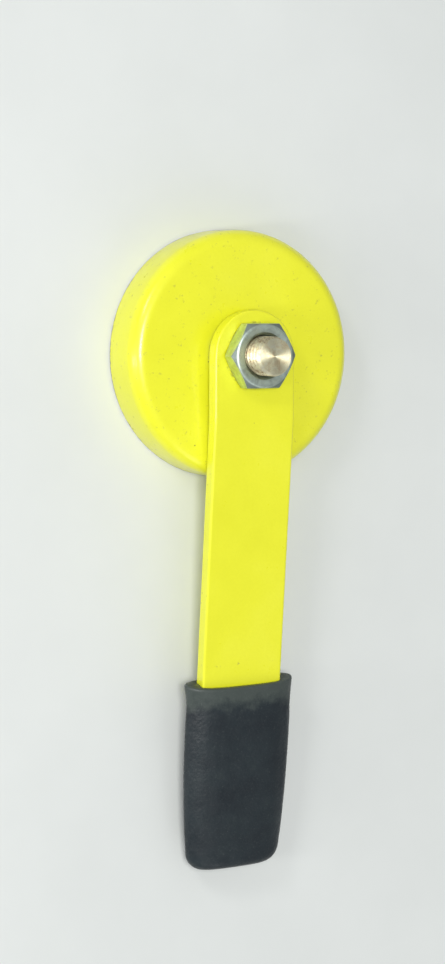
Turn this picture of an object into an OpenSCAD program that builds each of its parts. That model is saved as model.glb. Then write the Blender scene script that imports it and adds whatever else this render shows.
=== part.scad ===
// Magnetic welding ground clamp: a ring magnet in a pressed steel cup, a copper
// contact stud through its centre, and a flat steel handle held by a hex nut.
// Origin: centre of the contact face. +Z: along the stud, away from the work.
// The handle points along -Y.

/* [Magnet cup] */
// Outside diameter of the pressed cup
cup_d = 50.8; // [44:0.1:60]
// Height of the cup, contact rim to flat top
cup_h = 10.6; // [9:0.1:14]
// Outside radius of the rolled top edge
cup_edge_r = 3; // [2:0.1:3.5]
// Thickness of the cup's side wall
cup_wall = 1.8; // [1.4:0.1:2.2]
// Thickness of the cup's roof
cup_roof = 2; // [1.5:0.1:2.2]
// Clearance hole for the stud in the roof, diameter
cup_hole_d = 8.4; // [8.4:0.1:9]

/* [Magnet and filling] */
// Outside diameter of the ferrite ring
magnet_d = 45; // [38:0.5:46]
// Bore of the ferrite ring
magnet_bore_d = 22; // [19:0.5:24]
// Depth of the ferrite ring's face above the contact plane
magnet_recess = 0.35; // [0.2:0.05:1]
// Adhesive film between the ring and the roof
film_t = 0.2; // [0.1:0.05:0.4]
// Depth of the potting compound's face above the contact plane
potting_recess = 0.5; // [0.3:0.05:1]

/* [Contact stud] */
// Diameter of the copper contact face
contact_d = 16; // [12:0.5:17]
// Diameter of the plain shank that the bar turns on
shank_d = 7.94; // [7.9:0.01:7.96]
// Mean diameter of the threaded length inside the nut
thread_d = 7.5; // [7.2:0.05:7.6]
// Diameter of the turned free end
stud_end_d = 8; // [7.9:0.01:8]
// Length of the turned free end, past the nut
stud_end_l = 3.9; // [2:0.1:6]
// Chamfer on the free end
stud_chamfer = 0.35; // [0.2:0.05:0.6]

/* [Handle strip] */
// Width of the flat bar
strip_w = 18.4; // [17:0.1:20]
// Thickness of the flat bar
strip_t = 3; // [2:0.1:4]
// Distance from the stud's axis to the square end of the bar
strip_l = 104.5; // [70:0.1:120]
// Distance from the stud's axis to the middle of the bend
bend_at = 13; // [11:0.5:16]
// Angle by which the bar drops past the bend
bend_deg = 5.5; // [0:0.25:6]
// Radius of the bend at the middle of the bar
bend_r = 26; // [20:1:30]
// Hole for the stud, diameter
strip_hole_d = 8.04; // [8.02:0.01:8.06]

/* [Vinyl grip] */
// Length of the grip along the bar
grip_l = 40.6; // [25:0.1:45]
// Width at the open mouth
grip_w_mouth = 25.2; // [22.2:0.1:26]
// Width near the closed end
grip_w_end = 22; // [20.6:0.1:23]
// Thickness of the grip
grip_t = 6.8; // [6:0.1:8]
// Thickness of the closed end
grip_floor = 2.6; // [2:0.1:4]
// Angle of the mouth's cut: the side by the work reaches further up the bar
grip_mouth_deg = 10; // [0:1:15]
// Corner radius at the closed end, seen from above
grip_corner_r = 3.2; // [2:0.1:3.4]

/* [Nut and washer] */
// Width across the nut's flats
nut_af = 13; // [12.8:0.1:13]
// Height of the nut
nut_h = 4; // [3.8:0.1:6.5]
// Bore of the nut over the thread, diameter
nut_bore_d = 8.1; // [8.06:0.01:8.2]
// Outside diameter of the washer under the bar
washer_d = 16; // [15:0.1:17]
// Thickness of the washer under the bar
washer_t = 1.6; // [1.6:0.1:2]
// Bore of the washer
washer_bore_d = 8.4; // [8.3:0.1:8.6]

/* [Hidden] */
$fn = 96;
eps = 0.01;
// working gap between the bar and the faces that clamp it
face_gap = 0.03;
cup_r = cup_d / 2;
cup_in_r = cup_r - cup_wall;
cup_in_h = cup_h - cup_roof;
cup_in_edge_r = 1.2;
contact_r = contact_d / 2;
strip_z0 = cup_h + washer_t + face_gap;
strip_z1 = strip_z0 + strip_t;
nut_z0 = strip_z1 + face_gap;
nut_z1 = nut_z0 + nut_h;
stud_end_z0 = nut_z1 + 0.15;
stud_top = nut_z1 + stud_end_l;
// the bar's middle line: flat, then an arc, then a straight slope
bend_half = bend_r * tan(bend_deg / 2);
bend_steps = 6;
strip_mid_z = (strip_z0 + strip_z1) / 2;
bend_z = strip_mid_z;

// frame of the sloping part: y runs back along the bar from the bend's corner
module along_slope() {
    translate([0, -bend_at, bend_z]) rotate([bend_deg, 0, 0]) children();
}

// point on the side outline at height h from the middle line, k = 0 .. bend_steps through the arc
function arc_pt(k, h) =
    let (a = bend_deg * k / bend_steps)
    [-(bend_at - bend_half) - (bend_r + h) * sin(a),
     bend_z - bend_r + (bend_r + h) * cos(a)];
slope_l = strip_l - bend_at;
function slope_pt(d, h) =
    [-bend_at - d * cos(bend_deg) - h * sin(bend_deg),
     bend_z - d * sin(bend_deg) + h * cos(bend_deg)];

module magnet_cup() {
    color("yellow")
    rotate_extrude() difference() {
        union() {
            square([cup_r - cup_edge_r, cup_h]);
            translate([0, 0.4]) square([cup_r, cup_h - cup_edge_r - 0.4]);
            polygon([[0, 0], [cup_r - 0.4, 0], [cup_r, 0.4], [0, 0.4]]);
            translate([cup_r - cup_edge_r, cup_h - cup_edge_r]) circle(cup_edge_r);
        }
        translate([-1, -1]) square([cup_in_r - cup_in_edge_r + 1, cup_in_h + 1]);
        translate([-1, -1]) square([cup_in_r + 1, cup_in_h - cup_in_edge_r + 1]);
        translate([cup_in_r - cup_in_edge_r, cup_in_h - cup_in_edge_r]) circle(cup_in_edge_r);
        translate([-1, 0]) square([cup_hole_d / 2 + 1, cup_h + 1]);
    }
}

// ferrite ring, magnetised through its thickness, with broken edges
module ring_magnet() {
    z1 = cup_in_h - film_t;
    c = 0.5;
    color("dimgray")
    rotate_extrude() polygon([
        [magnet_bore_d / 2 + c, magnet_recess], [magnet_d / 2 - c, magnet_recess],
        [magnet_d / 2, magnet_recess + c], [magnet_d / 2, z1 - c], [magnet_d / 2 - c, z1],
        [magnet_bore_d / 2 + c, z1], [magnet_bore_d / 2, z1 - c], [magnet_bore_d / 2, magnet_recess + c]]);
}

// compound that fills the gap round the ring and the film above it
module potting_ring() {
    color([0.09, 0.09, 0.1])
    rotate_extrude() union() {
        translate([magnet_d / 2 + 0.02, potting_recess])
            square([cup_in_r - magnet_d / 2 - 0.04, cup_in_h - cup_in_edge_r - potting_recess - 0.2]);
        translate([magnet_bore_d / 2 + 0.7, cup_in_h - film_t + 0.02])
            square([magnet_d / 2 - magnet_bore_d / 2 - 2.4, film_t - 0.04]);
    }
}

// plastic bush that centres the ring on the stud
module centre_sleeve() {
    color([0.13, 0.13, 0.14])
    difference() {
        translate([0, 0, magnet_recess + 0.1]) cylinder(r = magnet_bore_d / 2 - 0.05, h = cup_in_h - magnet_recess - 0.15);
        translate([0, 0, -1]) cylinder(r = contact_r + 0.05, h = cup_h + 2);
    }
}

// copper post: contact face at the bottom, shoulder under the roof, then shank, thread and free end
module contact_stud() {
    color([0.8, 0.5, 0.32])
    union() {
        rotate_extrude() polygon([
            [0, 0], [contact_r - 0.4, 0], [contact_r, 0.4], [contact_r, cup_in_h - 0.02], [0, cup_in_h - 0.02]]);
        translate([0, 0, cup_in_h - 0.5]) cylinder(d = shank_d, h = strip_z1 - cup_in_h + 0.5);
        translate([0, 0, strip_z1 - 0.5]) cylinder(d = thread_d, h = stud_end_z0 - strip_z1 + 0.6);
        translate([0, 0, stud_end_z0]) cylinder(d = stud_end_d, h = stud_top - stud_chamfer - stud_end_z0);
        translate([0, 0, stud_top - stud_chamfer])
            cylinder(d1 = stud_end_d, d2 = stud_end_d - 2 * stud_chamfer, h = stud_chamfer);
    }
}

module base_washer() {
    color("silver")
    translate([0, 0, cup_h]) difference() {
        cylinder(d = washer_d, h = washer_t);
        translate([0, 0, -1]) cylinder(d = washer_bore_d, h = washer_t + 2);
    }
}

// flat bar, full-round at the stud, with one shallow bend
module handle_strip() {
    h = strip_t / 2;
    color("yellow")
    difference() {
        intersection() {
            // side outline, drawn across the bar's width
            rotate([90, 0, 90]) linear_extrude(height = strip_w + 2, center = true)
                polygon(concat(
                    [[strip_w, bend_z + h]],
                    [for (k = [0:bend_steps]) arc_pt(k, h)],
                    [slope_pt(slope_l, h), slope_pt(slope_l, -h)],
                    [for (k = [bend_steps:-1:0]) arc_pt(k, -h)],
                    [[strip_w, bend_z - h]]));
            // plan outline
            union() {
                translate([0, 0, -5]) cylinder(d = strip_w, h = 40);
                translate([-strip_w / 2, -strip_l - 5, -5]) cube([strip_w, strip_l + 5, 40]);
            }
        }
        translate([0, 0, -5]) cylinder(d = strip_hole_d, h = 40);
    }
}

// slip-on grip: side edges are half-round, and the width tapers to the closed end
module vinyl_grip() {
    y_end = -(slope_l + grip_floor);
    y_mouth = y_end + grip_l;
    r = grip_t / 2;
    wm = grip_w_mouth / 2;
    we = grip_w_end / 2;
    yc = y_end + grip_corner_r;
    // half-angle of the taper
    ta = atan((wm - we) / (y_mouth - yc));
    color([0.1, 0.11, 0.13])
    along_slope() difference() {
        intersection() {
            union() {
                // core between the two side rounds
                translate([0, 0, -r]) linear_extrude(height = grip_t) polygon([
                    [-(wm - r), y_mouth], [-(we - r), y_end], [we - r, y_end], [wm - r, y_mouth]]);
                // side rounds along the tapering edges
                for (s = [-1, 1])
                    translate([s * (wm - r), y_mouth, 0]) rotate([0, 0, -s * ta]) rotate([90, 0, 0])
                        translate([0, 0, -1]) cylinder(r = r, h = grip_l + 3);
            }
            // plan outline with rounded end corners
            union() {
                translate([-(we - grip_corner_r), y_end, -r - 1]) cube([2 * (we - grip_corner_r), grip_l, grip_t + 2]);
                translate([0, 0, -r - 1]) linear_extrude(height = grip_t + 2) polygon([
                    [-wm - 1, y_mouth], [-we - 0.05, yc], [we + 0.05, yc], [wm + 1, y_mouth]]);
                for (s = [-1, 1])
                    translate([s * (we - grip_corner_r), yc, -r - 1]) cylinder(r = grip_corner_r, h = grip_t + 2);
            }
        }
        // pocket for the bar
        translate([-strip_w / 2 - 0.02, -slope_l - 0.02, -strip_t / 2 - 0.02])
            cube([strip_w + 0.04, grip_l + 10, strip_t + 0.04]);
        // the mouth's slanting cut
        translate([0, y_mouth, -r]) rotate([grip_mouth_deg, 0, 0])
            translate([-20, 0, -3]) cube([40, 10, 3 * grip_t]);
    }
}

// thin hex nut, chamfered on both faces
module terminal_nut() {
    c = 0.62;
    rc = nut_af / 2 / cos(30);
    color("lightsteelblue")
    translate([0, 0, nut_z0]) difference() {
        intersection() {
            cylinder(r = rc, h = nut_h, $fn = 6);
            rotate_extrude() polygon([
                [0, 0], [nut_af / 2 - 0.15, 0], [rc + 0.1, c], [rc + 0.1, nut_h - c], [nut_af / 2 - 0.15, nut_h], [0, nut_h]]);
        }
        translate([0, 0, -1]) cylinder(d = nut_bore_d, h = nut_h + 2);
    }
}

magnet_cup();
ring_magnet();
potting_ring();
centre_sleeve();
contact_stud();
base_washer();
handle_strip();
vinyl_grip();
terminal_nut();
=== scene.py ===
import bpy, bmesh, math
from mathutils import Vector, Matrix, noise


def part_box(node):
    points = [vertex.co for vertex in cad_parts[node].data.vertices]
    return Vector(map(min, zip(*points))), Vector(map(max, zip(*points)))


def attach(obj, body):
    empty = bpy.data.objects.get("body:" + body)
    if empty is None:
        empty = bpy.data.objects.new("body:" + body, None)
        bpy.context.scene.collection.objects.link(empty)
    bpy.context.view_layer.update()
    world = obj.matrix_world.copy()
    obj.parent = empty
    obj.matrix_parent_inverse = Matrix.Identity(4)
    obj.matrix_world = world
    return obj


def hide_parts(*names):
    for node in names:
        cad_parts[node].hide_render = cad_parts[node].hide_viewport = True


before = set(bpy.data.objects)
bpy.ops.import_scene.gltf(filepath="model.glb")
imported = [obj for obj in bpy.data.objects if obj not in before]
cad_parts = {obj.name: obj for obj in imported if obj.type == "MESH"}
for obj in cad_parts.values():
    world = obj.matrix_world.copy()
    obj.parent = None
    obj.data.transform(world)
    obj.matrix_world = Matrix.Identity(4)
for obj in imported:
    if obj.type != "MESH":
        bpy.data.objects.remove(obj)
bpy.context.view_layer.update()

MM = 0.001
TAU = math.tau


def mm(v):
    return v * 1000.0


# ---------------------------------------------------------------- sizes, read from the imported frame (mm)
lo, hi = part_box("magnet_cup")
CUP_R, CUP_H = mm(hi.x), mm(hi.z)
lo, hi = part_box("ring_magnet")
MAG_R, MAG_Z0, MAG_Z1 = mm(hi.x), mm(lo.z), mm(hi.z)
lo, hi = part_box("centre_sleeve")
SLV_R, SLV_Z0, SLV_Z1 = mm(hi.x), mm(lo.z), mm(hi.z)
lo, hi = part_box("base_washer")
WSH_R, WSH_Z0, WSH_Z1 = mm(hi.x), mm(lo.z), mm(hi.z)
lo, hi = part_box("terminal_nut")
NUT_AF, NUT_Z0, NUT_Z1 = mm(hi.y - lo.y), mm(lo.z), mm(hi.z)
lo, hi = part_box("contact_stud")
POST_R, STUD_TOP = mm(hi.x), mm(hi.z)
lo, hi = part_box("handle_strip")
STRIP_W, STRIP_TOP = mm(hi.x - lo.x), mm(hi.z)
STRIP_T = 3.0
BEND_AT, BEND_A, BEND_R = 13.0, math.radians(5.5), 26.0
BEND_HALF = BEND_R * math.tan(BEND_A / 2)
BEND_Z = STRIP_TOP - STRIP_T / 2
lo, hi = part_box("handle_strip")
SLOPE_L = (-mm(lo.y) - BEND_AT - STRIP_T / 2 * math.sin(BEND_A)) / math.cos(BEND_A)
lo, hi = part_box("vinyl_grip")
GRIP_W = mm(hi.x)
GRIP_L, GRIP_FLOOR, GRIP_T = 40.6, 2.6, 6.8
ROOF_Z = CUP_H - 2.0
SHANK_R = 3.97
PITCH = 1.25


# ---------------------------------------------------------------- mesh helpers
def make(name, verts, faces, sharp=32.0, weld=False):
    me = bpy.data.meshes.new(name)
    me.from_pydata([(x * MM, y * MM, z * MM) for x, y, z in verts], [], faces)
    bm = bmesh.new()
    bm.from_mesh(me)
    if weld:
        bmesh.ops.remove_doubles(bm, verts=bm.verts, dist=1e-7)
    bmesh.ops.recalc_face_normals(bm, faces=bm.faces)
    bm.to_mesh(me)
    bm.free()
    for p in me.polygons:
        p.use_smooth = True
    me.set_sharp_from_angle(angle=math.radians(sharp))
    me.update()
    ob = bpy.data.objects.new(name, me)
    bpy.context.scene.collection.objects.link(ob)
    return ob


def fillet(points, closed=True):
    """Corners (x, y, radius, steps) turned into a polyline with round corners."""
    out, n = [], len(points)
    for i, (x, y, r, *seg) in enumerate(points):
        seg = seg[0] if seg else 5
        if r <= 0 or (not closed and i in (0, n - 1)):
            out.append((x, y))
            continue
        p = Vector((x, y))
        a = Vector(points[i - 1][:2]) - p
        b = Vector(points[(i + 1) % n][:2]) - p
        a.normalize()
        b.normalize()
        ang = math.acos(max(-1, min(1, a.dot(b))))
        d = r / math.tan(ang / 2)
        c = p + (a + b).normalized() * (r / math.sin(ang / 2))
        s, e = p + a * d - c, p + b * d - c
        sa, ea = math.atan2(s.y, s.x), math.atan2(e.y, e.x)
        da = (ea - sa + math.pi) % TAU - math.pi
        for k in range(seg + 1):
            t = sa + da * k / seg
            out.append((c.x + r * math.cos(t), c.y + r * math.sin(t)))
    return out


def lathe(name, prof, n=144, loop=True, rfun=None, sharp=32.0, angles=None):
    """Turns (r, z) points about Z. rfun(r, z, angle, i) may change a point. A point at r = 0 becomes a pole."""
    angles = angles or [TAU * k / n for k in range(n)]
    n = len(angles)
    verts, rows = [], []
    for i, (r, z) in enumerate(prof):
        if r <= 1e-9:
            rows.append([len(verts)] * n)
            verts.append((0, 0, z))
            continue
        row = []
        for a in angles:
            rr, zz = rfun(r, z, a, i) if rfun else (r, z)
            row.append(len(verts))
            verts.append((rr * math.cos(a), rr * math.sin(a), zz))
        rows.append(row)
    faces = []
    m = len(rows)
    for i in range(m if loop else m - 1):
        A, B = rows[i], rows[(i + 1) % m]
        for k in range(n):
            f = [A[k], A[(k + 1) % n], B[(k + 1) % n], B[k]]
            g = []
            for v in f:
                if v not in g:
                    g.append(v)
            if len(g) >= 3:
                faces.append(g)
    return make(name, verts, faces, sharp)


def thread(z, a):
    """Depth of an M8 thread, 0 at a crest and 1 at a root."""
    f = (z / PITCH - a / TAU) % 1.0
    t = abs(2 * f - 1)
    t = max(0.0, min(1.0, (t - 0.14) / 0.66))
    return t * t * (3 - 2 * t) * 0.35 + t * 0.65


# ---------------------------------------------------------------- materials
def principled(name):
    m = bpy.data.materials.new(name)
    m.use_nodes = True
    nt = m.node_tree
    b = nt.nodes["Principled BSDF"]
    return m, nt, b


def N(nt, kind, **kw):
    nd = nt.nodes.new(kind)
    for k, v in kw.items():
        if k.startswith("i_"):
            key = k[2:].replace("_", " ")
            nd.inputs[key].default_value = v
        else:
            setattr(nd, k, v)
    return nd


def coords(nt, scale=(1000, 1000, 1000)):
    tc = N(nt, "ShaderNodeTexCoord")
    mp = N(nt, "ShaderNodeMapping")
    mp.inputs["Scale"].default_value = scale
    nt.links.new(tc.outputs["Object"], mp.inputs["Vector"])
    return mp.outputs["Vector"]


def tex_noise(nt, vec, scale, detail=3.0, rough=0.55, dist=0.0):
    t = N(nt, "ShaderNodeTexNoise")
    t.inputs["Scale"].default_value = scale
    t.inputs["Detail"].default_value = detail
    t.inputs["Roughness"].default_value = rough
    t.inputs["Distortion"].default_value = dist
    nt.links.new(vec, t.inputs["Vector"])
    return t.outputs["Fac"]


def ramp(nt, fac, stops, interp="LINEAR"):
    r = N(nt, "ShaderNodeValToRGB")
    r.color_ramp.interpolation = interp
    e = r.color_ramp.elements
    while len(e) < len(stops):
        e.new(0.5)
    for el, (p, c) in zip(e, stops):
        el.position = p
        el.color = (c, c, c, 1) if isinstance(c, (int, float)) else (*c, 1)
    nt.links.new(fac, r.inputs["Fac"])
    return r.outputs["Color"]


def remap(nt, v, a, b, c, d):
    r = N(nt, "ShaderNodeMapRange")
    for k, x in zip(("From Min", "From Max", "To Min", "To Max"), (a, b, c, d)):
        r.inputs[k].default_value = x
    nt.links.new(v, r.inputs["Value"])
    return r.outputs["Result"]


def math2(nt, op, a, b=None):
    m = N(nt, "ShaderNodeMath", operation=op)
    for s, v in ((0, a), (1, b)):
        if v is None:
            continue
        if isinstance(v, (int, float)):
            m.inputs[s].default_value = v
        else:
            nt.links.new(v, m.inputs[s])
    return m.outputs[0]


def mix(nt, fac, a, b):
    m = N(nt, "ShaderNodeMix", data_type="RGBA")
    for key, v in (("Factor", fac), ("A", a), ("B", b)):
        sock = [s for s in m.inputs if s.name == key and (s.type == "RGBA" if key != "Factor" else s.type == "VALUE")][0]
        if isinstance(v, (int, float)):
            sock.default_value = v
        elif isinstance(v, tuple):
            sock.default_value = (*v, 1)
        else:
            nt.links.new(v, sock)
    return [s for s in m.outputs if s.type == "RGBA"][0]


def bump(nt, h, dist, strength=1.0, normal=None):
    b = N(nt, "ShaderNodeBump")
    b.inputs["Strength"].default_value = strength
    b.inputs["Distance"].default_value = dist
    nt.links.new(h, b.inputs["Height"])
    if normal:
        nt.links.new(normal, b.inputs["Normal"])
    return b.outputs["Normal"]


def xyz(nt, vec):
    s = N(nt, "ShaderNodeSeparateXYZ")
    nt.links.new(vec, s.inputs[0])
    return s.outputs


def radius(nt, vec):
    s = xyz(nt, vec)
    return math2(nt, "SQRT", math2(nt, "ADD", math2(nt, "MULTIPLY", s[0], s[0]), math2(nt, "MULTIPLY", s[1], s[1])))


YELLOW = (0.845, 0.850, 0.028)


def paint(name, wear):
    """Lemon powder coat with orange peel, small inclusions and bare steel where wear (a node output, 0 to 1) says."""
    m, nt, b = principled(name)
    L = nt.links
    v = coords(nt)
    broad = tex_noise(nt, v, 0.055, 3, 0.6)
    base = ramp(nt, broad, [(0.3, (0.80, 0.805, 0.022)), (0.55, YELLOW), (0.8, (0.875, 0.878, 0.045))])
    # fine mottling of the coat
    fine = tex_noise(nt, v, 1.7, 4, 0.6)
    base = mix(nt, remap(nt, fine, 0.35, 0.7, 0.0, 0.22), base, (0.74, 0.752, 0.015))
    # dark inclusions, a few tenths of a millimetre across
    vo = N(nt, "ShaderNodeTexVoronoi", feature="F1")
    vo.inputs["Scale"].default_value = 0.23
    L.new(v, vo.inputs["Vector"])
    dot = remap(nt, vo.outputs["Distance"], 0.028, 0.045, 1.0, 0.0)
    pick = remap(nt, tex_noise(nt, v, 0.11, 1), 0.56, 0.6, 0.0, 1.0)
    dot = math2(nt, "MULTIPLY", dot, pick)
    base = mix(nt, math2(nt, "MULTIPLY", dot, 0.75), base, (0.16, 0.13, 0.03))
    w = wear(nt, v)
    # a thin dark lip of primer round each bare spot
    lip = remap(nt, w, 0.12, 0.42, 0.0, 1.0)
    bare = remap(nt, w, 0.5, 0.62, 0.0, 1.0)
    base = mix(nt, math2(nt, "MULTIPLY", lip, 0.75), base, (0.30, 0.29, 0.06))
    base = mix(nt, bare, base, (0.36, 0.36, 0.35))
    L.new(base, b.inputs["Base Color"])
    L.new(bare, b.inputs["Metallic"])
    rough = remap(nt, tex_noise(nt, v, 0.35, 4, 0.6), 0.3, 0.75, 0.27, 0.40)
    rough = math2(nt, "ADD", rough, math2(nt, "MULTIPLY", bare, 0.08))
    L.new(rough, b.inputs["Roughness"])
    peel = tex_noise(nt, v, 0.95, 2.5, 0.5)
    n1 = bump(nt, peel, 0.000045, 0.55)
    n2 = bump(nt, tex_noise(nt, v, 6.0, 2, 0.5), 0.000006, 0.5, n1)
    n3 = bump(nt, math2(nt, "SUBTRACT", 1.0, lip), 0.00006, 0.7, n2)
    L.new(n3, b.inputs["Normal"])
    b.inputs["Coat Weight"].default_value = 0.35
    b.inputs["Coat Roughness"].default_value = 0.14
    b.inputs["Specular IOR Level"].default_value = 0.5
    return m


def cup_wear(nt, v):
    s = xyz(nt, v)
    r = radius(nt, v)
    n = tex_noise(nt, v, 0.8, 5, 0.65)
    n2 = tex_noise(nt, v, 0.17, 3, 0.6)
    # the ground contact rim is bare, with a ragged edge up the wall
    rim = remap(nt, s[2], 0.15, 0.75, 0.75, 0.0)
    rim = math2(nt, "ADD", rim, remap(nt, n, 0.35, 0.75, -0.35, 0.35))
    # under the washer
    hole = remap(nt, r, 7.6, 8.6, 0.9, 0.0)
    hole = math2(nt, "ADD", hole, remap(nt, n, 0.3, 0.8, -0.5, 0.2))
    # rare nicks on the shoulder
    sh = math2(nt, "MULTIPLY", remap(nt, n2, 0.56, 0.74, 0.0, 1.0), remap(nt, n, 0.60, 0.8, 0.0, 1.0))
    sh = math2(nt, "MULTIPLY", sh, remap(nt, r, 24.3, 25.1, 0.0, 1.0))
    w = math2(nt, "MAXIMUM", rim, hole)
    w = math2(nt, "MAXIMUM", w, math2(nt, "MULTIPLY", sh, 0.8))
    return math2(nt, "MINIMUM", math2(nt, "MAXIMUM", w, 0.0), 1.0)


def strip_wear(nt, v):
    s = xyz(nt, v)
    r = radius(nt, v)
    n = tex_noise(nt, v, 1.1, 5, 0.65)
    ax = math2(nt, "ABSOLUTE", s[0])
    side = remap(nt, ax, 8.95, 9.2, 0.0, 0.42)
    side = math2(nt, "MULTIPLY", side, remap(nt, n, 0.60, 0.80, 0.0, 1.6))
    ring = math2(nt, "MULTIPLY", remap(nt, r, 6.3, 7.3, 1.0, 0.0), remap(nt, n, 0.38, 0.62, 0.0, 0.62))
    hole = remap(nt, r, 4.2, 5.2, 1.0, 0.0)
    # rub marks where the grip's mouth chafes
    rub = math2(nt, "MULTIPLY", remap(nt, math2(nt, "ABSOLUTE", math2(nt, "ADD", s[1], 63.4)), 0.0, 1.1, 0.5, 0.0), remap(nt, n, 0.52, 0.7, 0.0, 0.8))
    w = math2(nt, "MAXIMUM", side, ring)
    w = math2(nt, "MAXIMUM", w, math2(nt, "MULTIPLY", hole, 0.8))
    w = math2(nt, "MAXIMUM", w, rub)
    return math2(nt, "MINIMUM", w, 1.0)


def N_normal(nt):
    """The surface's own direction in the piece's frame."""
    return N(nt, "ShaderNodeTexCoord").outputs["Normal"]


def zinc(name, tint=(0.56, 0.65, 0.58), rings=True, rough=(0.22, 0.38)):
    m, nt, b = principled(name)
    L = nt.links
    v = coords(nt)
    n = tex_noise(nt, v, 0.55, 5, 0.65, 0.6)
    c = ramp(nt, n, [(0.3, tuple(x * 0.72 for x in tint)), (0.52, tint), (0.78, tuple(x * 1.28 for x in tint))])
    # faint yellow and blue passivation bloom
    bl = tex_noise(nt, v, 0.23, 2, 0.5)
    c = mix(nt, remap(nt, bl, 0.48, 0.72, 0.0, 0.28), c, (0.62, 0.60, 0.40))
    c = mix(nt, remap(nt, bl, 0.30, 0.46, 0.25, 0.0), c, (0.40, 0.50, 0.66))
    ro = remap(nt, tex_noise(nt, v, 2.2, 4, 0.6), 0.3, 0.75, *rough)
    if rings:
        # the turned chamfer is duller than the face and its colour is darkened as painted shade; painted shade also
        # darkens the face towards the stud, in the countersink
        r = radius(nt, v)
        chamfer_dull_and_shade = remap(nt, r, 6.30, 6.55, 0.0, 1.0)
        up = remap(nt, math2(nt, "ABSOLUTE", xyz(nt, N_normal(nt))[2]), 0.35, 0.6, 0.0, 1.0)
        chamfer_dull_and_shade = math2(nt, "MULTIPLY", chamfer_dull_and_shade, up)
        # painted shade: the chamfer's colour is darkened
        c = mix(nt, math2(nt, "MULTIPLY", chamfer_dull_and_shade, 0.72), c, (0.15, 0.18, 0.175))
        ro = math2(nt, "ADD", ro, math2(nt, "MULTIPLY", chamfer_dull_and_shade, 0.24))
        # painted shade: the face darkens towards the bore, next to the stud
        countersink_shade = math2(nt, "MULTIPLY", remap(nt, r, 4.2, 5.5, 0.45, 0.0), remap(nt, n, 0.3, 0.7, 0.6, 1.0))
        c = mix(nt, countersink_shade, c, (0.10, 0.115, 0.11))
    L.new(c, b.inputs["Base Color"])
    b.inputs["Metallic"].default_value = 1.0
    L.new(ro, b.inputs["Roughness"])
    nn = bump(nt, tex_noise(nt, v, 3.5, 4, 0.6), 0.000012, 0.8)
    if rings:
        wv = N(nt, "ShaderNodeTexWave", wave_type="RINGS", rings_direction="Z")
        wv.inputs["Scale"].default_value = 1.5
        wv.inputs["Distortion"].default_value = 0.6
        wv.inputs["Detail"].default_value = 2.0
        L.new(v, wv.inputs["Vector"])
        nn = bump(nt, wv.outputs["Fac"], 0.000010, 0.8, nn)
    L.new(nn, b.inputs["Normal"])
    return m


def copper(name):
    m, nt, b = principled(name)
    L = nt.links
    v = coords(nt)
    n = tex_noise(nt, v, 0.42, 5, 0.62, 0.8)
    c = ramp(nt, n, [(0.28, (0.82, 0.66, 0.40)), (0.5, (0.98, 0.93, 0.66)), (0.75, (0.99, 0.98, 0.80))])
    # brown tarnish in patches, heavier down the shank
    s = xyz(nt, v)
    r = radius(nt, v)
    tar = tex_noise(nt, v, 1.1, 4, 0.7)
    low = remap(nt, s[2], 22.5, 23.0, 1.0, 0.22)
    c = mix(nt, math2(nt, "MULTIPLY", remap(nt, tar, 0.46, 0.70, 0.0, 0.85), low), c, (0.36, 0.20, 0.10))
    L.new(c, b.inputs["Base Color"])
    b.inputs["Metallic"].default_value = 1.0
    L.new(remap(nt, tar, 0.3, 0.75, 0.53, 0.63), b.inputs["Roughness"])
    b.inputs["Anisotropic"].default_value = 0.80
    b.inputs["Anisotropic Rotation"].default_value = 0.25
    tg = N(nt, "ShaderNodeTangent", direction_type="RADIAL", axis="Z")
    L.new(tg.outputs[0], b.inputs["Tangent"])
    wv = N(nt, "ShaderNodeTexWave", wave_type="RINGS", rings_direction="Z")
    wv.inputs["Scale"].default_value = 1.15
    wv.inputs["Distortion"].default_value = 0.35
    wv.inputs["Detail"].default_value = 3.0
    L.new(v, wv.inputs["Vector"])
    n1 = bump(nt, wv.outputs["Fac"], 0.000014, 0.9)
    n2 = bump(nt, tex_noise(nt, v, 5.0, 3, 0.6), 0.000006, 0.7, n1)
    L.new(n2, b.inputs["Normal"])
    return m


def vinyl(name):
    m, nt, b = principled(name)
    L = nt.links
    v = coords(nt)
    n = tex_noise(nt, v, 0.14, 4, 0.6)
    c = ramp(nt, n, [(0.3, (0.010, 0.015, 0.020)), (0.6, (0.016, 0.024, 0.029)), (0.85, (0.027, 0.037, 0.038))])
    # pale dust caught in the grain, heavier near the mouth
    s = xyz(nt, v)
    dust = remap(nt, tex_noise(nt, v, 2.6, 5, 0.75), 0.58, 0.72, 0.0, 0.55)
    edge = math2(nt, "ADD", s[1], remap(nt, tex_noise(nt, v, 0.5, 4, 0.6), 0.3, 0.7, -1.2, 1.2))
    # a band at the mouth end, which carries heavier dust and painted sheen
    mouth_dust_and_sheen = remap(nt, edge, -73.2, -70.0, 0.0, 1.0)
    c = mix(nt, math2(nt, "MULTIPLY", dust, remap(nt, mouth_dust_and_sheen, 0, 1, 0.45, 1.0)), c, (0.16, 0.18, 0.165))
    # painted sheen: the mouth end is a paler grey
    c = mix(nt, math2(nt, "MULTIPLY", mouth_dust_and_sheen, 0.62), c, (0.080, 0.098, 0.086))
    L.new(c, b.inputs["Base Color"])
    L.new(remap(nt, tex_noise(nt, v, 0.5, 4, 0.6), 0.3, 0.75, 0.36, 0.55), b.inputs["Roughness"])
    # moulded grain: cells of about 0.6 mm, with a finer tooth
    vo = N(nt, "ShaderNodeTexVoronoi", feature="SMOOTH_F1")
    vo.inputs["Scale"].default_value = 1.5
    vo.inputs["Smoothness"].default_value = 0.7
    L.new(v, vo.inputs["Vector"])
    n1 = bump(nt, vo.outputs["Distance"], 0.00006, 0.7)
    n2 = bump(nt, tex_noise(nt, v, 4.0, 4, 0.7), 0.00003, 0.8, n1)
    n3 = bump(nt, tex_noise(nt, v, 0.22, 2, 0.5), 0.00030, 0.6, n2)
    L.new(n3, b.inputs["Normal"])
    b.inputs["Specular IOR Level"].default_value = 0.42
    return m


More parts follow.
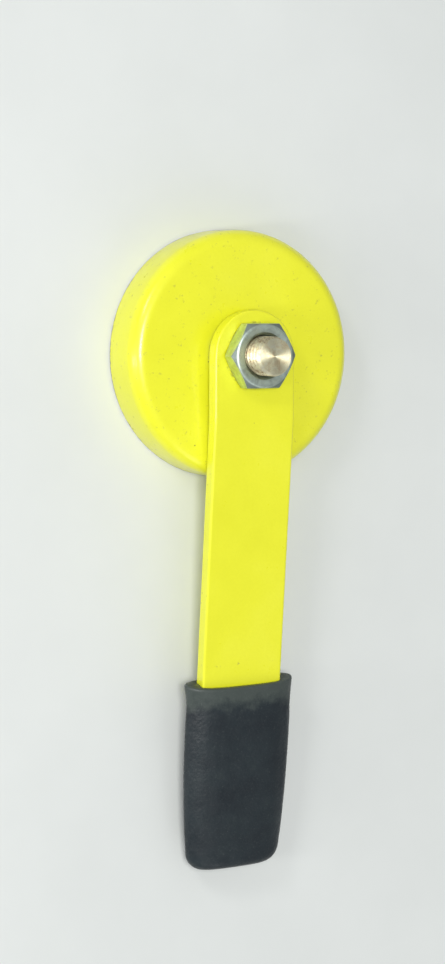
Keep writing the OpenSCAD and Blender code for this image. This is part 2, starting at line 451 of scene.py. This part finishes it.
def ferrite(name):
    m, nt, b = principled(name)
    L = nt.links
    v = coords(nt)
    n = tex_noise(nt, v, 2.4, 6, 0.7)
    c = ramp(nt, n, [(0.3, (0.035, 0.035, 0.038)), (0.55, (0.072, 0.072, 0.076)), (0.8, (0.15, 0.15, 0.15))])
    L.new(c, b.inputs["Base Color"])
    L.new(remap(nt, n, 0.3, 0.8, 0.42, 0.62), b.inputs["Roughness"])
    # straight grinding marks across the face
    g = coords(nt, (160, 5200, 1000))
    gr = tex_noise(nt, g, 1.0, 2, 0.5)
    n1 = bump(nt, gr, 0.00002, 0.6)
    pits = N(nt, "ShaderNodeTexVoronoi", feature="F1")
    pits.inputs["Scale"].default_value = 0.8
    L.new(v, pits.inputs["Vector"])
    n2 = bump(nt, remap(nt, pits.outputs["Distance"], 0.0, 0.16, 0.0, 1.0), 0.00005, 0.6, n1)
    L.new(n2, b.inputs["Normal"])
    return m


def black_plastic(name, base, rough, peel):
    m, nt, b = principled(name)
    L = nt.links
    v = coords(nt)
    n = tex_noise(nt, v, 0.5, 4, 0.6)
    L.new(ramp(nt, n, [(0.3, tuple(x * 0.7 for x in base)), (0.8, tuple(x * 1.5 for x in base))]), b.inputs["Base Color"])
    L.new(remap(nt, tex_noise(nt, v, 1.3, 3), 0.3, 0.75, rough[0], rough[1]), b.inputs["Roughness"])
    n1 = bump(nt, tex_noise(nt, v, peel, 3), 0.00005, 0.6)
    L.new(n1, b.inputs["Normal"])
    return m


M_CUP = paint("cup_powder_coat", cup_wear)
M_STRIP = paint("strip_powder_coat", strip_wear)
M_NUT = zinc("nut_zinc_plate", (0.64, 0.75, 0.66), True, (0.36, 0.50))
M_WASHER = zinc("washer_zinc_plate", (0.55, 0.59, 0.60), False, (0.30, 0.48))
M_COPPER = copper("turned_copper")
M_VINYL = vinyl("black_vinyl")
M_FERRITE = ferrite("ground_ferrite")
M_POT = black_plastic("epoxy_potting", (0.012, 0.012, 0.014), (0.12, 0.3), 0.35)
M_SLEEVE = black_plastic("nylon_sleeve", (0.022, 0.022, 0.024), (0.38, 0.55), 2.5)


def place(ob, node, body, mat):
    ob.data.materials.append(mat)
    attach(ob, body)
    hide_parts(node)
    return ob


# ---------------------------------------------------------------- magnet cup: pressed shell, rolled shoulder
prof = fillet([
    (CUP_R - 1.8, 0.0, 0.18, 3), (CUP_R, 0.0, 0.4, 4), (CUP_R, CUP_H, 3.0, 14), (4.2, CUP_H, 0.25, 4),
    (4.2, ROOF_Z, 0.2, 3), (CUP_R - 1.8, ROOF_Z, 1.2, 6)])
# the profile is copied unchanged
prof = [p for p in prof]
cup = lathe("magnet_cup_shell", prof, 192)
place(cup, "magnet_cup", "base", M_CUP)

# ---------------------------------------------------------------- ferrite ring, chipped a little along its arrises


prof = fillet([
    (11.0, MAG_Z0, 0.35, 3), (12.4, MAG_Z0, 0), (15.5, MAG_Z0, 0), (18.6, MAG_Z0, 0), (21.2, MAG_Z0, 0), (MAG_R, MAG_Z0, 0.45, 3),
    (MAG_R, MAG_Z0 + 1.2, 0), (MAG_R, MAG_Z1, 0.45, 3), (11.0, MAG_Z1, 0.35, 3), (11.0, MAG_Z0 + 1.2, 0)])


def chips(r, z, a, i):
    if z < MAG_Z0 + 0.5:
        e = noise.noise(Vector((math.cos(a) * 6.3, math.sin(a) * 6.3, r * 0.21)))
        d = max(0.0, e - 0.22) * 1.2
        if r > 21.6:
            return r - d * 0.5, z + d * 0.35
        if r < 11.6:
            return r + d * 0.4, z + d * 0.3
    return r, z


ring = lathe("ferrite_ring", prof, 180, rfun=chips)
place(ring, "ring_magnet", "base", M_FERRITE)

# ---------------------------------------------------------------- potting: a meniscus against both walls
pin, pout = MAG_R + 0.03, CUP_R - 1.8 - 0.03
mid = (pin + pout) / 2
lo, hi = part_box("potting_ring")
PZ0, PZ1 = mm(lo.z), mm(hi.z)
prof = [(pin, PZ0 + 0.10), (pin + 0.12, PZ0 + 0.22), (pin + 0.3, PZ0 + 0.32), (mid, PZ0 + 0.36), (pout - 0.3, PZ0 + 0.30),
        (pout - 0.12, PZ0 + 0.18), (pout, PZ0 + 0.10), (pout, PZ0 + 1.0), (pout, 7.1), (pin, 7.1), (pin, PZ0 + 1.0)]


def slump(r, z, a, i):
    if z < PZ0 + 0.5:
        z += 0.08 * noise.noise(Vector((math.cos(a) * 3, math.sin(a) * 3, 2.0)))
    return r, z


pot = lathe("epoxy_ring", prof, 160, rfun=slump, sharp=60)
# the bonding film over the ring, under the cup's roof
film = lathe("epoxy_film", fillet([(11.75, PZ1 - 0.14, 0.05, 2), (20.75, PZ1 - 0.14, 0.05, 2), (20.75, PZ1 - 0.01, 0.05, 2), (11.75, PZ1 - 0.01, 0.05, 2)]), 96)
bm = bmesh.new()
bm.from_mesh(pot.data)
bm.from_mesh(film.data)
bm.to_mesh(pot.data)
bm.free()
bpy.data.objects.remove(film)
place(pot, "potting_ring", "base", M_POT)

# ---------------------------------------------------------------- centring sleeve, with a moulded groove in its face
prof = fillet([
    (POST_R + 0.06, SLV_Z0, 0.2, 2), (POST_R + 0.95, SLV_Z0, 0.1, 2), (POST_R + 1.05, SLV_Z0 + 0.3, 0.08, 2),
    (SLV_R - 1.05, SLV_Z0 + 0.3, 0.08, 2), (SLV_R - 0.95, SLV_Z0, 0.1, 2), (SLV_R, SLV_Z0, 0.25, 3),
    (SLV_R, SLV_Z1, 0.2, 2), (POST_R + 0.06, SLV_Z1, 0.2, 2)])
slv = lathe("sleeve_bush", prof, 144)
place(slv, "centre_sleeve", "base", M_SLEEVE)

# ---------------------------------------------------------------- copper stud: faced contact, shank, rolled M8 thread, turned end
prof = [(0.0, 0.03)]
r = 0.35
while r < POST_R - 0.55:
    prof.append((r, 0.012 + 0.012 * math.cos(r * TAU / 0.42)))
    r += 0.105
prof += [(POST_R - 0.5, 0.0), (POST_R - 0.36, 0.03), (POST_R - 0.12, 0.17), (POST_R, 0.42), (POST_R, 0.6)]
prof += [(POST_R, ROOF_Z - 0.3), (POST_R - 0.25, ROOF_Z - 0.04), (SHANK_R + 0.1, ROOF_Z - 0.04), (SHANK_R, ROOF_Z + 0.1)]
z = ROOF_Z + 0.2
prof.append((SHANK_R, z))
T0 = STRIP_TOP - 0.35
prof.append((SHANK_R, T0 - 0.2))
z = T0
while z < STUD_TOP - 0.05:
    prof.append((3.985, z))
    z += 0.088
first_end = len(prof)
# the faced end: a narrow burr, then concentric tool marks on a slight crown
CH = 0.35
prof.append((4.0 - CH, STUD_TOP - 0.012))
prof.append((4.0 - CH - 0.14, STUD_TOP - 0.004))
r = 4.0 - CH - 0.26
while r > 0.12:
    g = 0.5 - 0.5 * math.cos(r * TAU / 0.36)
    prof.append((r, STUD_TOP - 0.006 - 0.026 * g - 0.06 * max(0.0, 1 - r / 0.6)))
    r -= 0.06
prof.append((0.0, STUD_TOP - 0.07))


def cut(r, z, a, i):
    if T0 - 0.01 <= z and i < first_end and r < 4.01:
        ramp_in = max(0.0, min(1.0, (z - T0) / 0.9))
        rr = 3.99 - 0.62 * thread(z, a) * ramp_in
        cone = 4.0 - max(0.0, z - (STUD_TOP - CH))
        return min(rr, cone), z
    if i == first_end:
        rr = 3.99 - 0.62 * thread(STUD_TOP, a)
        return min(rr, 4.0 - CH), z
    if i == first_end + 1:
        rr = 3.99 - 0.62 * thread(STUD_TOP, a)
        return min(rr - 0.1, 4.0 - CH - 0.14), z
    if i > first_end + 1 and r > 0:
        rr = 3.99 - 0.62 * thread(STUD_TOP, a)
        return min(rr - 0.2 - 0.03 * (i - first_end - 2), r), z
    return r, z


stud = lathe("copper_stud", prof, 128, loop=False, rfun=cut, sharp=40)
place(stud, "contact_stud", "base", M_COPPER)

# ---------------------------------------------------------------- washer: sheared edge, one side rounder
prof = fillet([
    (4.2, WSH_Z0, 0.1, 2), (WSH_R, WSH_Z0, 0.12, 2), (WSH_R, WSH_Z1, 0.32, 4), (4.2, WSH_Z1, 0.3, 4)])
wsh = lathe("plain_washer", prof, 128)
place(wsh, "base_washer", "base", M_WASHER)

# ---------------------------------------------------------------- thin hex nut: rounded corners, 30 degree chamfers, threaded bore
A = NUT_AF / 2
RHO = 0.32


def hexr(a):
    """Radius of a hexagon with corners of radius RHO, one corner on +X."""
    f = (a + math.radians(30)) % math.radians(60) - math.radians(30)   # angle from the nearest corner
    f = abs(f)
    flat = A / math.cos(math.radians(30) - f)
    c = (A - RHO) / math.cos(math.radians(30))
    # ray at angle f from the corner's direction meets the corner's circle
    disc = RHO * RHO - (c * math.sin(f)) ** 2
    if disc > 0:
        rr = c * math.cos(f) + math.sqrt(disc)
        # the circle rules only within 30 degrees of its own centre line
        y = rr * math.sin(f)
        if y <= RHO * math.sin(math.radians(30)) + 1e-9:
            return rr
    return flat


angles = []
for k in range(6):
    c = math.radians(60 * k)
    for d in (0, 0.6, 1.2, 2.0, 4, 7, 10, 13.5, 17, 20.5, 24, 27, 30, 33, 36, 39.5, 43, 46.5, 50, 53, 56, 58, 58.8, 59.4):
        angles.append(c + math.radians(d))
RC = A - 0.22            # radius where the chamfer meets the face
T30 = math.tan(math.radians(30))
CS = 4.8                 # countersink radius
rows = []                # (kind, value)
h = NUT_Z1 - NUT_Z0
rows += [("face", CS, NUT_Z0), ("face", 5.6, NUT_Z0), ("face", RC - 0.30, NUT_Z0), ("face", RC - 0.15, NUT_Z0 + 0.012), ("face", RC, NUT_Z0 + 0.05)]
rows += [("lo", -0.14), ("lo", -0.03), ("side_lo", 0.10), ("side_mid", 0), ("side_hi", 0.10), ("hi", -0.03), ("hi", -0.14)]
rows += [("face", RC, NUT_Z1 - 0.075), ("face", RC - 0.12, NUT_Z1 - 0.03), ("face", RC - 0.26, NUT_Z1 - 0.006), ("face", RC - 0.40, NUT_Z1), ("face", RC - 0.6, NUT_Z1 - 0.015), ("face", CS + 0.25, NUT_Z1 - 0.02), ("face", CS + 0.06, NUT_Z1 - 0.03), ("face", CS - 0.03, NUT_Z1 - 0.05)]
z = NUT_Z1 - 0.30
while z > NUT_Z0 + 0.30:
    rows.append(("bore", 4.07, z))
    z -= 0.1
rows.append(("face", CS - 0.03, NUT_Z0 + 0.05))

verts, grid = [], []
for row in rows:
    line = []
    for a in angles:
        hr = hexr(a)
        zlo = NUT_Z0 + 0.05 + max(0.0, hr - RC) * T30
        zhi = NUT_Z1 - 0.075 - max(0.0, hr - RC) * T30
        k = row[0]
        if k == "face":
            rr, zz = row[1], row[2]
        elif k == "lo":
            rr = hr + row[1]
            rr = max(rr, RC + 0.03)
            zz = NUT_Z0 + 0.05 + (rr - RC) * T30 + (0.015 if row[1] > -0.1 else 0.0)
        elif k == "hi":
            rr = max(hr + row[1], RC + 0.03)
            zz = NUT_Z1 - 0.075 - (rr - RC) * T30 - (0.015 if row[1] > -0.1 else 0.0)
        elif k == "side_lo":
            rr, zz = hr, zlo + row[1]
        elif k == "side_hi":
            rr, zz = hr, zhi - row[1]
        elif k == "side_mid":
            rr, zz = hr, (NUT_Z0 + NUT_Z1) / 2
        else:
            z = row[2]
            end = min(1.0, (NUT_Z1 - z) / 0.9, (z - NUT_Z0) / 0.9)
            rr = 4.07 + 0.5 * (1 - thread(z, a))
            cone = CS - 0.03 - min(NUT_Z1 - 0.05 - z, z - NUT_Z0 - 0.05) * 0.9
            rr, zz = max(rr, cone), z
        line.append(len(verts))
        verts.append((rr * math.cos(a), rr * math.sin(a), zz))
    grid.append(line)
faces = []
nr, na = len(grid), len(angles)
for i in range(nr):
    P, Q = grid[i], grid[(i + 1) % nr]
    for k in range(na):
        faces.append([P[k], P[(k + 1) % na], Q[(k + 1) % na], Q[k]])
nut = make("hex_nut", verts, faces, 24)
place(nut, "terminal_nut", "nut", M_NUT)

# ---------------------------------------------------------------- handle bar: flat bar with dressed edges, bent once
S0 = BEND_AT - BEND_HALF
S1 = S0 + BEND_R * BEND_A
S_END = S1 + SLOPE_L - BEND_HALF


def bar(x, s, h):
    """Point of the bent bar: x across, s along from the stud, h above its middle."""
    if s <= S0:
        return (x, -s, BEND_Z + h)
    if s <= S1:
        a = (s - S0) / BEND_R
        return (x, -S0 - (BEND_R + h) * math.sin(a), BEND_Z - BEND_R + (BEND_R + h) * math.cos(a))
    d = s - S1
    return (x, -S0 - (BEND_R + h) * math.sin(BEND_A) - d * math.cos(BEND_A),
            BEND_Z - BEND_R + (BEND_R + h) * math.cos(BEND_A) - d * math.sin(BEND_A))


W2, T2 = STRIP_W / 2, STRIP_T / 2
ER = 0.42
levels = [(1.6, T2), (0.75, T2)]
for k in range(6):
    t = math.radians(90 - 18 * k)
    levels.append((ER - ER * math.cos(t), T2 - ER + ER * math.sin(t)))
levels += [(0.0, 0.6), (0.0, 0.0), (0.0, -0.6)]
for k in range(6):
    t = math.radians(-18 * k)
    levels.append((ER - ER * math.cos(t), -T2 + ER + ER * math.sin(t)))
levels += [(0.75, -T2), (1.6, -T2)]
stations = [S_END, 97, 90, 82, 74, 66, 58, 50, 42, 35, 28, 23, 19, 17, 15.5]
k = 0
while k <= 6:
    stations.append(S1 + 0.4 - (S1 - S0 + 0.8) * k / 6)
    k += 1
stations += [10.6, 8, 5.5, 3, 1.2]
NA = 40


def outline(d):
    """Left side up, round the nose, right side down, as (x, s)."""
    w = W2 - d
    pts = [(-w, min(s, S_END - d)) for s in stations]
    pts += [(-w * math.cos(math.pi * q / NA), -w * math.sin(math.pi * q / NA)) for q in range(NA + 1)]
    pts += [(w, min(s, S_END - d)) for s in reversed(stations)]
    return pts


verts, loops = [], []
for d, hgt in levels:
    line = []
    for x, s in outline(d):
        # slight waviness of a sheared bar under thick paint
        e = 0.035 * abs(noise.noise(Vector((x * 0.05 + 3.1, s * 0.09, hgt * 0.3)))) if s > 24 else 0.0
        line.append(len(verts))
        verts.append(bar(x - (e if x > 0 else -e), s, hgt))
    loops.append(line)
faces = []
npt = len(loops[0])
for i in range(len(loops) - 1):
    P, Q = loops[i], loops[i + 1]
    for k in range(npt):
        faces.append([P[k], P[(k + 1) % npt], Q[(k + 1) % npt], Q[k]])
for L_, rev in ((loops[0], False), (loops[-1], True)):
    # quads from left to right across the two big faces
    for k in range(npt // 2):
        f = [L_[k], L_[k + 1], L_[npt - 2 - k], L_[npt - 1 - k]]
        g = []
        for v_ in f:
            if v_ not in g:
                g.append(v_)
        if len(g) > 2:
            faces.append(g)
strip = make("handle_bar", verts, faces, 28, weld=True)
# the stud's hole, cut through
bm = bmesh.new()
bmesh.ops.create_cone(bm, cap_ends=True, segments=96, radius1=4.02 * MM, radius2=4.02 * MM, depth=0.02,
                      matrix=Matrix.Translation((0, 0, BEND_Z * MM)))
me = bpy.data.meshes.new("hole_tool")
bm.to_mesh(me)
bm.free()
tool = bpy.data.objects.new("hole_tool", me)
bpy.context.scene.collection.objects.link(tool)
md = strip.modifiers.new("hole", "BOOLEAN")
md.operation = "DIFFERENCE"
md.solver = "EXACT"
md.object = tool
bpy.context.view_layer.update()
dg = bpy.context.evaluated_depsgraph_get()
cut_me = bpy.data.meshes.new_from_object(strip.evaluated_get(dg))
strip.modifiers.clear()
strip.data = cut_me
for p in strip.data.polygons:
    p.use_smooth = True
strip.data.set_sharp_from_angle(angle=math.radians(28))
bpy.data.objects.remove(tool)
place(strip, "handle_strip", "handle", M_STRIP)

# ---------------------------------------------------------------- vinyl grip: soft slip-on sleeve
WM = GRIP_W
Y_MOUTH = -(SLOPE_L + GRIP_FLOOR) + GRIP_L      # in the sloping frame
cb, sb = math.cos(BEND_A), math.sin(BEND_A)
SKEW = 0.018
FRONT = 1.45             # the near lip of the mouth lies this far behind the far one


def slope(x, y, zz):
    """From the sloping frame (y runs back along the bar) to the row frame."""
    return (x, -BEND_AT + y * cb - zz * sb, BEND_Z + y * sb + zz * cb)


NS = 96
H2 = GRIP_T / 2


def section(w, hh, rc, k):
    """Rounded rectangle by angle, with a slightly crowned face."""
    t = TAU * k / NS
    c, s = math.cos(t), math.sin(t)
    # arc-like spread of the points: superellipse mapped on a rounded box
    px = math.copysign(abs(c) ** 0.55, c)
    pz = math.copysign(abs(s) ** 0.85, s)
    ln = math.hypot(c, s)
    x = (w - rc) * px + rc * c
    z_ = (hh - rc) * pz + rc * s
    return x, z_


def grip_rows():
    L = GRIP_L - FRONT - 0.10
    out = []      # (t, half width, half thickness)
    def wid(t, side):
        f = t / L
        if side > 0:
            w = WM - 0.10 - 1.55 * f ** 3.2
            w += 0.06 * math.exp(-((t - 0.2) / 1.6) ** 2)
        else:                                                  # this edge is drawn in more
            w = WM - 0.62 - 2.0 * f ** 3
            w += 0.56 * math.exp(-(t / 2.3) ** 2)              # and the mouth flares where it was stretched on
        w -= 0.10 * math.exp(-((t - 4.6) / 2.6) ** 2)
        return w
    def thk(t):
        f = t / L
        h = H2 - 0.24 + 0.20 * math.sin(math.pi * min(1, f * 1.1))
        h += 0.15 * math.exp(-(t / 2.4) ** 2)
        h -= 0.07 * math.exp(-((t - 4.6) / 2.2) ** 2)
        return min(h, H2 - 0.02)
    C, R2 = 3.4, 1.9
    TC = L - C
    for t in (0.0, 0.08, 0.22, 0.45, 0.8, 1.3, 2, 3, 4, 5.2, 6.6, 8, 10, 12, 14, 16.5, 19, 21.5, 24, 26.5, 29, 31, 33, TC):
        e = 0.45 * (1 - math.sqrt(max(0.0, 1 - (1 - min(t, 0.45) / 0.45) ** 2)))   # round lip
        out.append((t, wid(t, -1) - e, wid(t, 1) - e, thk(t) - e))
    for q in range(1, 15):
        t = TC + C * math.sin(math.pi / 2 * q / 14)
        dw = C - math.sqrt(max(0.0, C * C - max(0.0, t - (L - C)) ** 2))
        dh = R2 - math.sqrt(max(0.0, R2 * R2 - max(0.0, t - (L - R2)) ** 2))
        out.append((t, wid(t, -1) - dw, wid(t, 1) - dw, max(thk(t) - dh, 0.9)))
    return out, L


rowsg, GL = grip_rows()
verts, grid = [], []


def side(wl, wr, k):
    return wr if math.cos(TAU * k / NS) > 0 else wl


def lift(x, z_, w, hh):
    """How far the rim reaches up the bar past its near middle."""
    back = 0.5 - 0.5 * (z_ / hh)
    return 0.95 * back + 0.26 * min(1.0, abs(x) / w) ** 8


def gpoint(t, wl, wr, hh, k):
    w = side(wl, wr, k)
    rc = min(2.9, hh - 0.05, w - 0.05)
    x, z_ = section(w, hh, rc, k)
    # soft wrinkles and hand-made unevenness
    f = max(0.0, min(1.0, t / 4.0))
    u = noise.noise(Vector((x * 0.16, t * 0.15, z_ * 0.4 + 7.0))) * 0.10 * f
    u += noise.noise(Vector((x * 0.45, t * 0.5, z_ * 0.9 + 3.0))) * 0.03 * f
    ln = math.hypot(x / w, z_ / hh) or 1
    x += -abs(u) * (x / w) / ln * 0.7
    z_ += -abs(u) * (z_ / hh) / ln
    # the bar's outline telegraphs through the sleeve: a shallow hollow over its edges
    edge = math.exp(-((abs(x) - 9.9) / 1.1) ** 2) * 0.10 * f
    if t < 34:
        z_ -= math.copysign(edge, z_)
    # mouth: the cut is skewed, and the sides and back reach further up the bar
    m_ = max(0.0, 1 - t / 9.0)
    tt = t - lift(x, z_, w, hh) * m_ - SKEW * x
    return slope(x, Y_MOUTH - FRONT - tt, z_)


for t, wl, wr, hh in rowsg:
    line = []
    for k in range(NS):
        line.append(len(verts))
        verts.append(gpoint(t, wl, wr, hh, k))
    grid.append(line)
faces = []
for i in range(len(grid) - 1):
    P, Q = grid[i], grid[i + 1]
    for k in range(NS):
        faces.append([P[k], P[(k + 1) % NS], Q[(k + 1) % NS], Q[k]])
# closed end: rings shrinking to a seam line
t, wl, wr, hh = rowsg[-1]
last = grid[-1]
for q, (sx, sz, dt) in enumerate([(0.94, 0.86, 0.02), (0.80, 0.6, 0.04), (0.6, 0.36, 0.05), (0.38, 0.14, 0.05)]):
    line = []
    for k in range(NS):
        line.append(len(verts))
        w = side(wl, wr, k)
        rc = min(2.9, hh * sz - 0.01, w * sx - 0.01)
        x, z_ = section(w * sx, hh * sz, max(rc, 0.05), k)
        verts.append(slope(x, Y_MOUTH - FRONT - (t + dt - SKEW * x), z_))
    for k in range(NS):
        faces.append([last[k], last[(k + 1) % NS], line[(k + 1) % NS], line[k]])
    last = line
faces.append(list(last))
# mouth: the cut lip turns in to a pocket round the bar
t, wl, wr, hh = rowsg[0]
PW, PT = W2 + 0.05, T2 + 0.05
first = grid[0]
DEEP = Y_MOUTH - FRONT + SLOPE_L + 0.06
steps = [(0.55, 0.0, 0.30), (1.0, 0.30, 0.30), (1.0, 3.0, 0.0), (1.0, 12.0, 0.0), (1.0, 24.0, 0.0), (1.0, DEEP, 0.0)]
prev = first
for f, dt, gap in steps:
    line = []
    for k in range(NS):
        w = side(wl, wr, k)
        rc = min(2.9, hh - 0.05)
        x, z_ = section(w, hh, rc, k)
        # the matching point on the pocket: rounded slot round the bar
        tx = max(-PW, min(PW, x * PW / (w - 0.9)))
        tz = max(-PT, min(PT + gap, z_ * (PT + gap) / (hh - 1.05)))
        xx, zz = x + (tx - x) * f, z_ + (tz - z_) * f
        k_ = max(0.0, 1 - dt / 3.0) if dt > 0.3 else 1.0      # the cut's slant fades out inside
        line.append(len(verts))
        verts.append(slope(xx, Y_MOUTH - FRONT - (dt - (lift(x, z_, w, hh) + SKEW * xx) * k_), zz))
    for k in range(NS):
        faces.append([prev[(k + 1) % NS], prev[k], line[k], line[(k + 1) % NS]])
    prev = line
faces.append(list(reversed(prev)))
grip = make("vinyl_sleeve", verts, faces, 50)
place(grip, "vinyl_grip", "handle", M_VINYL)

# ---------------------------------------------------------------- floor, light, camera
# open under the cup, where it can't be seen, so that light reaches the contact face from below
ra = [TAU * k / 96 for k in range(96)]
vs = [(24.8 * math.cos(a), 24.8 * math.sin(a), -0.05) for a in ra] + [(2500 * math.cos(a), 2500 * math.sin(a), -0.05) for a in ra]
me = bpy.data.meshes.new("floor")
me.from_pydata([tuple(x * MM for x in q) for q in vs], [], [(k, k + 96, (k + 1) % 96 + 96, (k + 1) % 96) for k in range(96)])
me.update()
floor = bpy.data.objects.new("floor", me)
bpy.context.scene.collection.objects.link(floor)
mf, nt, b = principled("pale_floor")
v = coords(nt, (20, 20, 20))
n = tex_noise(nt, v, 1.0, 4, 0.6)
nt.links.new(ramp(nt, n, [(0.3, (0.70, 0.725, 0.71)), (0.7, (0.74, 0.765, 0.75))]), b.inputs["Base Color"])
b.inputs["Roughness"].default_value = 0.75
b.inputs["Specular IOR Level"].default_value = 0.2
# seen from below the floor is clear, so the underside can be looked at
geo = N(nt, "ShaderNodeNewGeometry")
tr = N(nt, "ShaderNodeBsdfTransparent")
mx = N(nt, "ShaderNodeMixShader")
nt.links.new(geo.outputs["Backfacing"], mx.inputs[0])
nt.links.new(b.outputs[0], mx.inputs[1])
nt.links.new(tr.outputs[0], mx.inputs[2])
nt.links.new(mx.outputs[0], nt.nodes["Material Output"].inputs["Surface"])
floor.data.materials.append(mf)

world = bpy.data.worlds.new("studio")
bpy.context.scene.world = world
world.use_nodes = True
bg = world.node_tree.nodes["Background"]
bg.inputs["Color"].default_value = (0.93, 0.965, 1.0, 1)
bg.inputs["Strength"].default_value = 0.34


def area(name, loc, target, size, power, color=(1, 1, 1), size_y=None):
    ld = bpy.data.lights.new(name, "AREA")
    ld.energy = power
    ld.color = color
    ld.size = size
    if size_y:
        ld.shape = "RECTANGLE"
        ld.size_y = size_y
    ob = bpy.data.objects.new(name, ld)
    ob.location = loc
    ob.rotation_euler = (Vector(target) - Vector(loc)).to_track_quat("-Z", "Y").to_euler()
    bpy.context.scene.collection.objects.link(ob)
    return ob


area("key", (-0.37, 0.06, 0.86), (0, -0.04, 0), 0.24, 5.2, (1.0, 0.99, 0.965))
area("top_left", (-0.55, 0.42, 0.45), (0, -0.03, 0), 0.16, 1.0, (1, 1, 1))
area("strip_light", (-0.62, -0.06, 0.24), (0, -0.03, 0.01), 0.06, 1.1, (1, 1, 1), 0.5)
area("back", (0.10, -0.75, 0.50), (0, -0.05, 0), 0.40, 0.8, (1, 1, 1))
area("under", (-0.22, 0.16, -0.55), (0, -0.03, 0), 0.3, 2.4, (1, 1, 1))

# camera at the picture's angle: 29 degrees off the stud's axis, from the object's left
CA, CP, CRO, CF, CD, CTH = math.radians(29.181), math.radians(4.734), math.radians(-0.422), 2633.2, 548.08, math.radians(-0.525)
u = Vector((-math.sin(CA) * math.cos(CP), math.sin(CP), math.cos(CA) * math.cos(CP)))
r_ = Vector((math.cos(CA), 0, math.sin(CA)))
up_ = u.cross(r_)
c, s = math.cos(CRO), math.sin(CRO)
right, upv = r_ * c + up_ * s, up_ * c - r_ * s
loc = Vector((0.67456, -26.74, 0)) + u * CD
turn = Matrix.Rotation(-CTH, 3, "Z")
loc, right, upv, u = turn @ loc, turn @ right, turn @ upv, turn @ u
cam_data = bpy.data.cameras.new("camera")
cam_data.lens = CF * 36.0 / 964.0
cam_data.sensor_width = 36.0
cam_data.sensor_fit = "AUTO"
cam_data.clip_start, cam_data.clip_end = 0.01, 20
cam = bpy.data.objects.new("camera", cam_data)
back_ = u.normalized()
upn = back_.cross(right).normalized()
rn = upn.cross(back_).normalized()
rot = Matrix((rn, upn, back_)).transposed()
cam.matrix_world = Matrix.Translation(loc * MM) @ rot.to_4x4()
bpy.context.scene.collection.objects.link(cam)
bpy.context.scene.camera = cam

bpy.context.scene.view_settings.view_transform = "Standard"
bpy.context.scene.view_settings.look = "None"

bpy.context.view_layer.update()
